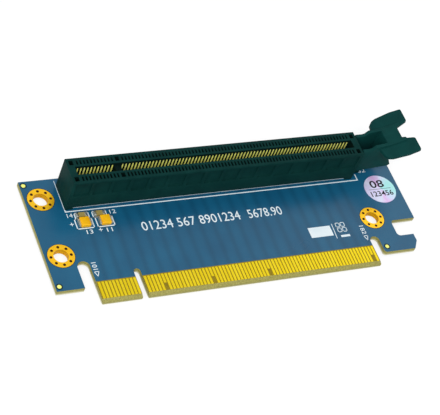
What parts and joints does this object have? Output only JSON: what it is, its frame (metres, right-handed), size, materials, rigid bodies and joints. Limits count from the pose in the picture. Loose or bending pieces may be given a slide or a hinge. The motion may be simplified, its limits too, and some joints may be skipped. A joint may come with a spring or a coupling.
{
  "type": "pcie riser card",
  "caption": "Pass-through riser card with gold edge fingers, a long keyed card slot with a pivoting fishtail lever, plated mounting holes and small capacitors",
  "frame": {"origin": "centre of the lower left mounting hole, at the board's rear face", "axes": "+X along the fingers towards the lever, +Y from the fingers to the far edge, +Z out of the board on the slot side"},
  "size_m": [0.1152, 0.0423, 0.0187],
  "materials": {
    "board": "blue solder mask over glass laminate",
    "finger_gold": "gold plated copper",
    "ring_gold": "gold plated copper",
    "housing_plastic": "moulded, dark green",
    "contact_metal": "plated spring strip",
    "lever_plastic": "moulded, dark green",
    "block_body": "moulded, amber",
    "tinned_metal": "tinned",
    "chip_body": "fired, tan",
    "sticker_film": "pale foil film",
    "white_ink": "printed"
  },
  "bodies": {
    "card": {"circuit_board": "board", "front_fingers": "finger_gold", "rear_fingers": "finger_gold", "plated_rings": "ring_gold", "slot_housing": "housing_plastic", "front_even_contacts": "contact_metal", "front_odd_contacts": "contact_metal", "rear_even_contacts": "contact_metal", "rear_odd_contacts": "contact_metal", "left_block_capacitor": "block_body", "right_block_capacitor": "block_body", "left_block_terminals": "tinned_metal", "right_block_terminals": "tinned_metal", "left_chip_capacitor": "chip_body", "right_chip_capacitor": "chip_body", "left_chip_ends": "tinned_metal", "right_chip_ends": "tinned_metal", "inspection_sticker": "sticker_film", "printed_marks": "white_ink"},
    "latch": {"latch_lever": "lever_plastic"}
  },
  "joints": [
    {"name": "latch_pivot", "type": "hinge", "parent": "card", "child": "latch", "pos_m": [0.0965, 0.0187, 0.0048], "axis": [0, 1, 0], "range_deg": [0, 15]}
  ]
}
